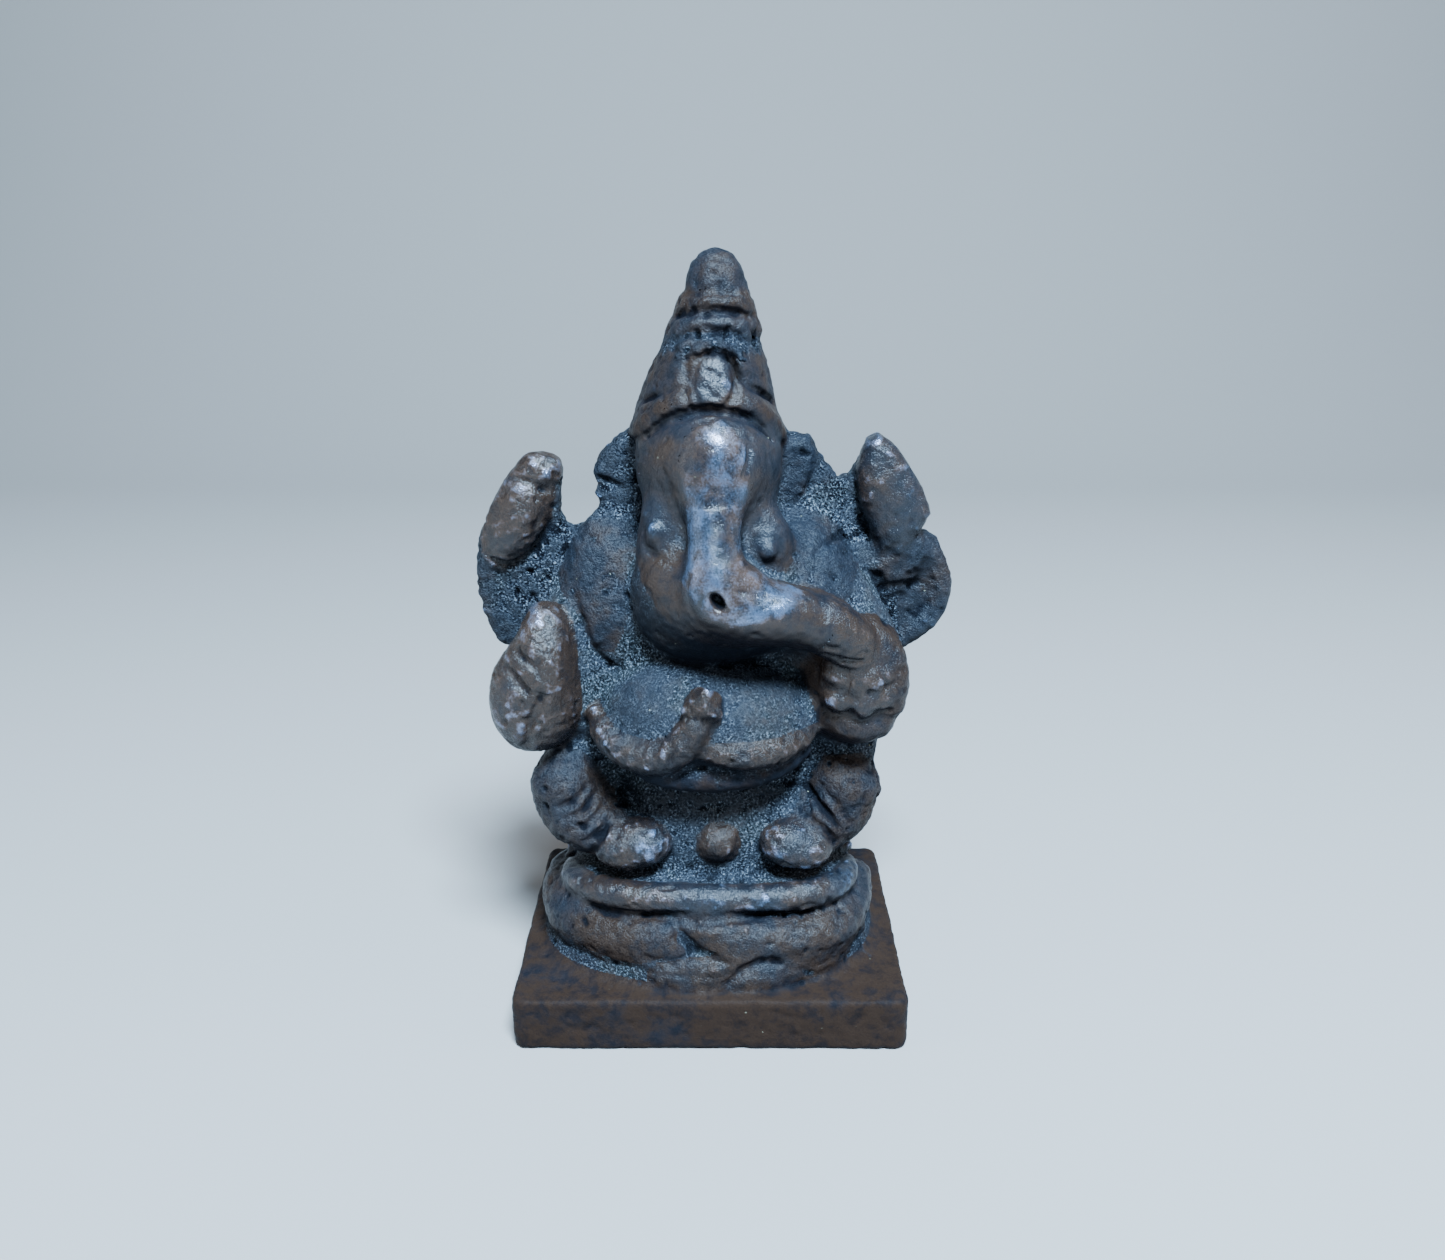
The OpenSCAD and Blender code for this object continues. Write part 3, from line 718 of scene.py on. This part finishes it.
def point_normals(points, quads, pairs):
    """Smooth outward directions, from the visible faces alone."""
    a, b, c, d = (points[quads[:, i]] for i in range(4))
    face = np.cross(c - a, d - b)
    face *= np.where(pairs[:, 0] == 0, -1, 1)[:, None]
    normal = np.zeros_like(points)
    for corner in range(4):
        for axis in range(3):
            normal[:, axis] += np.bincount(quads[:, corner], face[:, axis], len(points))
    return normal / np.maximum(np.linalg.norm(normal, axis=1), 1e-9)[:, None]


def spread(values, quads, rounds):
    """Evens out a value over the visible surface, from each point to its neighbours."""
    values = values[:, None].astype(np.float32)
    for _ in range(rounds):
        values = relax(values, quads, 0.8)
    return values[:, 0]


class Noise:
    """Smooth random heights between -1 and 1 at any place, the same on every run."""

    def __init__(self, seed, size=24):
        self.size = size
        self.table = np.random.default_rng(seed).uniform(-1, 1, (size,) * 3).astype(np.float32)
        turn = np.random.default_rng(seed + 1).normal(size=(3, 3))
        self.spin = np.linalg.qr(turn)[0].astype(np.float32)

    def at(self, points, scale):
        q = points @ self.spin / scale
        base = np.floor(q).astype(int)
        part = (q - base).astype(np.float32)
        part = part * part * (3 - 2 * part)
        total = np.zeros(len(points), np.float32)
        for corner in np.ndindex(2, 2, 2):
            weight = np.prod(np.where(corner, part, 1 - part), axis=1)
            i, j, k = ((base + corner) % self.size).T
            total += weight * self.table[i, j, k]
        return total


def metal_share(clay, reach):
    """How much of the neighbourhood of each grid point is metal: a half on a flat surface."""
    share = np.clip(0.5 - clay.depth / clay.step, 0, 1)
    width = max(1, int(round(reach / clay.step / 2)))
    for axis in (0, 1, 2, 0, 1, 2):
        share = np.moveaxis(share, axis, 0)
        padded = np.pad(share, ((width + 1, width), (0, 0), (0, 0)), mode="edge")
        total = np.cumsum(padded, axis=0, dtype=np.float32)
        share = (total[2 * width + 1:] - total[:-2 * width - 1]) / (2 * width + 1)
        share = np.moveaxis(share, 0, axis)
    return share


# Each element's skin: how coarse it is, how much warm metal shows, and how much it has been rubbed.
SKIN = {"plinth": (0.7, 0.68, -0.75), "seat_lower_tier": (1.2, 0.4, -0.6),
        "seat_upper_tier": (1.2, 0.3, -0.2), "seat_rim_roll": (1.1, 0.25, -0.04),
        "seat_roll_right": (1.4, 0.4, -0.42), "seat_roll_middle": (1.4, 0.4, -0.25),
        "seat_roll_left": (1.4, 0.35, -0.3), "lap": (1.5, 0.05, -0.2), "torso": (1.8, 0.05, -0.3),
        "belly": (0.9, 0.15, -0.28), "waist_hem": (1.3, 0.3, -0.8), "snake_head": (1.8, 0.5, -0.05),
        "snake_tail": (1.8, 0.5, -0.12), "right_leg": (1.8, 0.45, -0.32),
        "left_leg": (1.8, 0.4, -0.42), "right_foot": (1.5, 0.4, 0.05), "left_foot": (1.5, 0.2, 0.02),
        "sash_knot": (1.5, 0.6, -0.1), "right_arm": (1.4, 0.1, -0.2), "left_arm": (1.2, 0.1, -0.2),
        "right_front_hand": (1.2, 0.7, 0.12), "left_front_hand": (1.3, 0.5, -0.35),
        "modak": (1.2, 0.6, 0.04), "chest_collar": (0.9, 0.15, -0.2), "head": (0.8, 0.3, 0.0),
        "right_eye": (0.8, 0.1, -0.1), "left_eye": (0.8, 0.1, -0.25), "trunk_root": (0.3, 0.15, 0.34),
        "trunk_curl": (0.7, 0.5, -0.12), "trunk_tip": (1.1, 0.6, 0.0), "right_ear": (1.5, 0.15, -0.4),
        "left_ear": (1.5, 0.1, -0.35), "right_web": (2.2, 0.0, -0.2), "left_web": (2.4, 0.0, -0.2),
        "right_axe": (1.1, 0.6, 0.2), "left_lotus_bud": (1.1, 0.05, 0.0),
        "left_back_hand": (1.6, 0.1, -0.25), "crown_base": (1.1, 0.5, -0.35),
        "crown_brim": (1.0, 0.6, -0.3), "crown_jewel": (0.9, 0.0, 0.05),
        "crown_neck": (2.0, 0.2, -0.35), "crown_lower_ring": (1.4, 0.35, -0.2),
        "crown_upper_ring": (1.5, 0.6, -0.3), "crown_finial": (1.2, 0.2, -0.4)}


def cast_skin(clay, points, quads, pairs, skin):
    """Lumps, grain and pits of a rough casting, and the values that its patina, painted shade and
    painted highlights follow.
    """
    normals = point_normals(points, quads, pairs)
    label = np.zeros(len(points), int)
    for corner in range(4):
        label[quads[:, corner]] = pairs.max(axis=1)
    skins = np.array([(0.0, 0.0, 0.0)] + [SKIN[name] for name in clay.names[1:]])
    coarse, warm, rubbed = (spread(column[label], quads, 9) for column in skins.T)

    place = points[skin]
    lumps = 0.09 * Noise(SEED).at(place, 3.4) + 0.045 * Noise(SEED + 2).at(place, 1.5)
    bumps = 0.05 * Noise(SEED + 4).at(place, 0.8) + 0.055 * Noise(SEED + 6).at(place, 0.46)
    pits = -0.18 * np.clip(Noise(SEED + 8).at(place, 0.75) - 0.45, 0, 0.5) / 0.5
    height = np.zeros(len(points), np.float32)
    height[skin] = lumps + (bumps + pits) * coarse[skin]
    points = points + normals * height[:, None]

    lift = np.zeros(len(points), np.float32)
    lift[skin] = (bumps + pits) * coarse[skin] / 0.09
    near, wide = metal_share(clay, 0.9), metal_share(clay, 3.2)
    normals = point_normals(points, quads, pairs)
    values = {"edge": 0.5 - clay.sample(points, near), "hollow": clay.sample(points, wide) - 0.5,
              "lift": lift, "coarse": coarse, "warm": warm, "rubbed": rubbed,
              "up": normals[:, 2]}
    return points, normals, values


def build_piece(name, label, surface, normals, values):
    """One element as its own closed mesh object."""
    points, quads, pairs = surface
    first, second = pairs[:, 0] == label, pairs[:, 1] == label
    faces = np.vstack([quads[first], quads[second][:, ::-1]])
    used, local = np.unique(faces, return_inverse=True)
    local = local.reshape(faces.shape)
    mesh = bpy.data.meshes.new(name)
    mesh.vertices.add(len(used))
    mesh.vertices.foreach_set("co", (points[used] * MM).astype(np.float32).ravel())
    mesh.loops.add(local.size)
    mesh.loops.foreach_set("vertex_index", local.astype(np.int32).ravel())
    mesh.polygons.add(len(local))
    mesh.polygons.foreach_set("loop_start", np.arange(0, local.size, 4, dtype=np.int32))
    mesh.polygons.foreach_set("use_smooth", np.ones(len(local), bool))
    mesh.update(calc_edges=True)
    for key, value in values.items():
        layer = mesh.attributes.new(key, "FLOAT", "POINT")
        layer.data.foreach_set("value", value[used].astype(np.float32))
    mesh.normals_split_custom_set_from_vertices(normals[used])
    piece = bpy.data.objects.new(name, mesh)
    bpy.context.scene.collection.objects.link(piece)
    return piece


# ---------------------------------------------------------------- patina, painted shade and painted highlights

class Nodes:
    """Short ways to build a material's node tree."""

    def __init__(self, name):
        self.material = bpy.data.materials.new(name)
        self.material.use_nodes = True
        self.tree = self.material.node_tree
        self.shader = self.tree.nodes["Principled BSDF"]
        self.place = self.new("ShaderNodeTexCoord").outputs["Object"]

    def new(self, kind, **settings):
        node = self.tree.nodes.new(kind)
        for key, value in settings.items():
            setattr(node, key, value)
        return node

    def feed(self, socket, value):
        if isinstance(value, bpy.types.NodeSocket):
            self.tree.links.new(value, socket)
        else:
            socket.default_value = value

    def attribute(self, name):
        return self.new("ShaderNodeAttribute", attribute_name=name).outputs["Fac"]

    def noise(self, size, detail=3.0, rough=0.55, twist=0.0):
        """Cloudy values about 0.5, their features about size millimetres across."""
        node = self.new("ShaderNodeTexNoise")
        self.feed(node.inputs["Vector"], self.place)
        node.inputs["Scale"].default_value = 1 / (size * MM)
        node.inputs["Detail"].default_value = detail
        node.inputs["Roughness"].default_value = rough
        node.inputs["Distortion"].default_value = twist
        return node.outputs["Fac"]

    def cells(self, size):
        node = self.new("ShaderNodeTexVoronoi")
        self.feed(node.inputs["Vector"], self.place)
        node.inputs["Scale"].default_value = 1 / (size * MM)
        return node.outputs["Distance"]

    def math(self, kind, a, b=0.0, c=0.0):
        node = self.new("ShaderNodeMath", operation=kind)
        for socket, value in zip(node.inputs, (a, b, c)):
            self.feed(socket, value)
        return node.outputs[0]

    def sum(self, *terms):
        """Adds up pairs of a value and its weight."""
        total = 0.0
        for value, weight in terms:
            total = self.math("MULTIPLY_ADD", value, weight, total)
        return total

    def ramp(self, value, low, high, bottom=0.0, top=1.0):
        """Goes smoothly from bottom to top while the value goes from low to high."""
        node = self.new("ShaderNodeMapRange", interpolation_type="SMOOTHSTEP")
        for socket, number in zip(node.inputs, (value, low, high, bottom, top)):
            self.feed(socket, number)
        return node.outputs[0]

    def mix(self, share, a, b):
        node = self.new("ShaderNodeMix", data_type="RGBA")
        for socket, value in zip((node.inputs[0], node.inputs[6], node.inputs[7]), (share, a, b)):
            self.feed(socket, value)
        return node.outputs[2]


SLATE = (0.012, 0.017, 0.026, 1)
BROWN = (0.032, 0.018, 0.012, 1)
BLACK = (0.004, 0.005, 0.008, 1)
COPPER = (0.13, 0.078, 0.055, 1)
STEEL = (0.085, 0.125, 0.19, 1)
# Painted highlight colours for the most worn spots: blue-white on slate patina, grey-blue on brown.
HIGHLIGHT_BLUE = (0.36, 0.49, 0.78, 1)
HIGHLIGHT_GREYBLUE = (0.37, 0.44, 0.62, 1)
DUST = (0.045, 0.056, 0.074, 1)
VERDIGRIS = (0.048, 0.062, 0.064, 1)
GRIT = (0.37, 0.42, 0.48, 1)
SPECK = (0.42, 0.42, 0.30, 1)
PAINT = (0.47, 0.43, 0.40, 1)         # the floor
BUMP_HEIGHT = 0.30 * MM


def bronze(name, brown, wear, dust, rough):
    """Old bronze: slate and brown patina, bare metal on high spots, dust in the hollows, painted shade
    in narrow creases and on surfaces that face down, and a painted blue-white highlight on the most
    worn spots.
    """
    n = Nodes(name)
    edge, hollow, up = n.attribute("edge"), n.attribute("hollow"), n.attribute("up")
    lift, warm, rubbed = n.attribute("lift"), n.attribute("warm"), n.attribute("rubbed")
    coarse = n.attribute("coarse")
    cloud, patch = n.noise(6.0, 5), n.noise(1.5, 7, 0.72, 0.3)
    grain, fine = n.noise(0.21, 3, 0.6, 0.2), n.noise(0.12, 2, 0.7)

    brownness = n.ramp(n.sum((cloud, 1.2), (patch, 0.4), (warm, 0.55)), 0.71 - brown, 1.25 - brown)
    colour = n.mix(brownness, SLATE, BROWN)
    colour = n.mix(n.ramp(patch, 0.56, 0.36, 0, 0.5), colour, BLACK)

    blotch = n.math("MULTIPLY", n.math("SUBTRACT", patch, 0.5), coarse)
    bare = n.sum((edge, 2.2), (lift, 0.25), (blotch, 0.7), (grain, 0.5), (rubbed, 1.0))
    worn = n.ramp(bare, 0.54 - wear, 1.00 - wear)
    metal = n.mix(n.ramp(brownness, 0.1, 0.7), STEEL, COPPER)
    colour = n.mix(n.math("MULTIPLY", worn, 0.8), colour, metal)
    # The most worn spots follow real wear, but their blue-white colour is a painted highlight standing
    # in for the window lamp's reflection.
    wear_and_highlight = n.ramp(bare, 0.70 - wear, 1.24 - wear, 0, 0.9)
    colour = n.mix(wear_and_highlight, colour, n.mix(n.ramp(brownness, 0.2, 0.9), HIGHLIGHT_BLUE, HIGHLIGHT_GREYBLUE))

    dusty = n.sum((hollow, 1.6), (lift, -0.15), (cloud, 0.4), (patch, 0.3), (warm, -0.4))
    veil = n.ramp(n.math("ADD", dusty, dust), 0.35, 0.95, 0, 0.9)
    veil = n.math("MULTIPLY", veil, n.ramp(up, -0.5, 0.1, 0.35, 1))
    tint = n.mix(n.ramp(cloud, 0.50, 0.62, 0, 0.6), DUST, VERDIGRIS)
    colour = n.mix(veil, colour, tint)
    sandy = n.math("MULTIPLY", veil, n.math("MULTIPLY_ADD", coarse, 0.28, 0.26))
    grit = n.math("MULTIPLY", n.ramp(grain, 0.54, 0.66), sandy)
    colour = n.mix(grit, colour, GRIT)
    pitted = n.ramp(n.sum((grain, 1.0), (fine, 0.3), (lift, 0.05)), 0.68, 0.52)
    pitted = n.math("MULTIPLY", pitted, n.sum((veil, 0.55), (coarse, 0.25)))
    # Painted shade: near-black in narrow creases and on surfaces that face down, where the lamps'
    # light hardly reaches. The real pits of the grain join the same mask.
    crease_shade = n.ramp(edge, -0.06, -0.20, 0, 0.9)
    shade = n.ramp(up, 0.05, -0.75, 0, 0.9)
    shade_and_pits = n.math("MAXIMUM", n.math("MAXIMUM", crease_shade, shade), pitted)
    colour = n.mix(shade_and_pits, colour, BLACK)
    specks = n.math("MULTIPLY", n.ramp(n.cells(0.8), 0.16, 0.07), n.ramp(patch, 0.60, 0.66))
    colour = n.mix(n.math("MULTIPLY", specks, n.ramp(hollow, -0.12, 0.02)), colour, SPECK)
    n.feed(n.shader.inputs["Base Color"], colour)

    n.feed(n.shader.inputs["Metallic"], n.sum((worn, 0.6), (wear_and_highlight, 0.5)))
    # The painted shade also turns down the specular level, so creases and undersides reflect almost
    # nothing.
    sheen = n.sum((shade_and_pits, -0.45), (veil, -0.15), (rubbed, 0.6), (1.0, 0.50))
    n.feed(n.shader.inputs["Specular IOR Level"], n.math("MAXIMUM", sheen, 0.04))
    gloss = n.sum((grain, 0.15), (veil, 0.3), (rubbed, -0.25), (pitted, 0.2))
    n.feed(n.shader.inputs["Roughness"], n.math("ADD", gloss, rough - 0.19))

    bump = n.new("ShaderNodeBump")
    bump.inputs["Distance"].default_value = BUMP_HEIGHT
    bump.inputs["Strength"].default_value = 1.0
    relief = n.math("MULTIPLY", grain, n.sum((coarse, 0.30), (veil, 1.2)))
    n.feed(bump.inputs["Height"], n.sum((relief, 1.0), (fine, 0.10), (patch, 0.2)))
    n.feed(n.shader.inputs["Normal"], bump.outputs["Normal"])
    return n.material


# ---------------------------------------------------------------- the scene

def sculpt():
    """Models every element in turn; the marks that cross several elements come last."""
    clay = Clay((-24, -15.4, -0.9), (24.6, 15.6, 74), STEP)
    for model in (model_plinth, model_seat, model_seat_rolls, model_body, model_arms, model_webs,
                  model_legs, model_ears, model_head, model_trunk, model_crown, model_snakes,
                  model_right_front_hand, model_left_front_hand, model_back_hands, cut_face):
        model(clay)
    return clay


def make_pieces(clay):
    """Turns the clay into one finished object for each element."""
    points, quads, pairs, outer, skin = draw_surface(clay)
    points, normals, values = cast_skin(clay, points, quads[outer], pairs[outer], skin)
    normals[~skin] = (0, 0, 1)
    finish = {"dark_bronze": bronze("dark_bronze", brown=0.0, wear=0.0, dust=0.0, rough=0.44),
              "worn_bronze": bronze("worn_bronze", brown=0.05, wear=0.1, dust=-0.1, rough=0.38),
              "dusty_bronze": bronze("dusty_bronze", brown=-0.05, wear=-0.12, dust=0.3, rough=0.55)}
    slots = {s["node"]: s["material_slot"] for s in frame["record"]["subparts"]}
    for label, name in enumerate(clay.names[1:], start=1):
        piece = build_piece(name + "_cast", label, (points, quads, pairs), normals, values)
        piece.data.materials.append(finish[slots[name]])
        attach(piece, "root")
        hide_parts(name)


def add_floor():
    """A pale sweep: a floor that curves up into a wall behind the figure."""
    front, back, height, half_width, bend = -0.9, 0.22, 0.9, 1.2, 0.16
    profile = [(front, 0.0)]
    for angle in np.linspace(0, math.pi / 2, 24):
        profile.append((back + bend * math.sin(angle), bend - bend * math.cos(angle)))
    profile.append((back + bend, height))
    points = [(x, y, z) for y, z in profile for x in (-half_width, half_width)]
    faces = [(2 * i, 2 * i + 1, 2 * i + 3, 2 * i + 2) for i in range(len(profile) - 1)]
    mesh = bpy.data.meshes.new("floor")
    mesh.from_pydata(points, [], faces)
    mesh.polygons.foreach_set("use_smooth", np.ones(len(faces), bool))
    floor = bpy.data.objects.new("floor", mesh)
    bpy.context.scene.collection.objects.link(floor)
    paint = bpy.data.materials.new("floor_paint")
    paint.use_nodes = True
    shader = paint.node_tree.nodes["Principled BSDF"]
    shader.inputs["Base Color"].default_value = PAINT
    shader.inputs["Roughness"].default_value = 0.9
    mesh.materials.append(paint)


def add_light(name, at, size, power, colour):
    """A round lamp that is turned towards the middle of the figure."""
    data = bpy.data.lights.new(name, "AREA")
    data.shape = "DISK"
    data.size = size
    data.energy = power
    data.color = colour
    lamp = bpy.data.objects.new(name, data)
    lamp.location = at
    aim = Vector(FIGURE_MIDDLE) - Vector(at)
    lamp.rotation_euler = aim.to_track_quat("-Z", "Y").to_euler()
    bpy.context.scene.collection.objects.link(lamp)


def add_camera():
    """A wide close-up from in front, looking 20 degrees down, as in the photograph."""
    data = bpy.data.cameras.new("camera")
    data.sensor_width = 36
    data.lens = 29.9
    data.clip_start = 0.005
    camera = bpy.data.objects.new("camera", data)
    camera.location = (0.0012, -0.1093, 0.0776)
    camera.rotation_euler = (math.radians(70), 0, 0)
    bpy.context.scene.collection.objects.link(camera)
    bpy.context.scene.camera = camera


def add_world():
    world = bpy.data.worlds.new("world")
    bpy.context.scene.world = world
    world.use_nodes = True
    sky = world.node_tree.nodes["Background"]
    sky.inputs["Color"].default_value = (0.72, 0.80, 0.92, 1)
    sky.inputs["Strength"].default_value = 0.08


add_camera()
add_floor()
add_world()
add_light("window", at=(0.05, -0.19, 0.35), size=0.12, power=8.4, colour=(0.50, 0.74, 1.0))
add_light("left_fill", at=(-0.32, -0.10, 0.14), size=0.2, power=0.35, colour=(0.80, 0.90, 1.0))
add_light("right_fill", at=(0.34, -0.05, 0.18), size=0.2, power=0.30, colour=(1.0, 0.94, 0.88))
make_pieces(sculpt())
